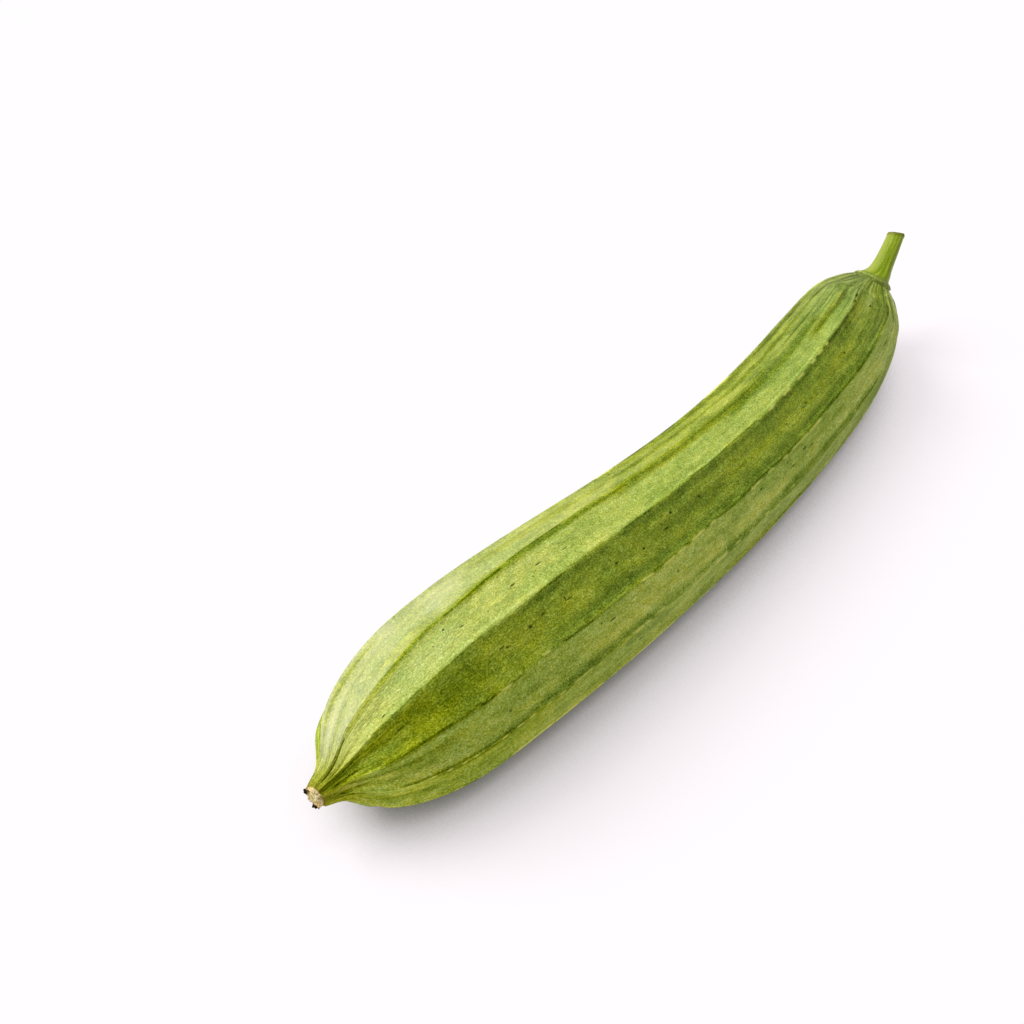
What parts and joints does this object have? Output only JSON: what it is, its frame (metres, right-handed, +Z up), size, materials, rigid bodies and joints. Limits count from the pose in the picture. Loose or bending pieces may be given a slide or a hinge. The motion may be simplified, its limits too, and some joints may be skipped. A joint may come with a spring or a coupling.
{
  "type": "ridge gourd",
  "caption": "Long ridge gourd lying on its side: a gently bowed green fruit with soft lengthwise ridges, a short cut stem at one end and the dried scar of its flower at the other.",
  "frame": {"origin": "on the surface that the gourd lies on, under the middle of the space that it takes up", "axes": "+X from the blossom end to the stem, +Y the hollow side of the bow, +Z up"},
  "size_m": [0.3752, 0.0666, 0.0572],
  "materials": {
    "skin": "fresh matt green skin, mottled and speckled, paler on the ridges",
    "stem": "fresh lime green, ribbed, browner at the cut",
    "dried_scar": "dry tan ring with brown flakes"
  },
  "bodies": {
    "root": {"fruit": "skin", "stem": "stem", "blossom_scar": "dried_scar"}
  },
  "joints": []
}
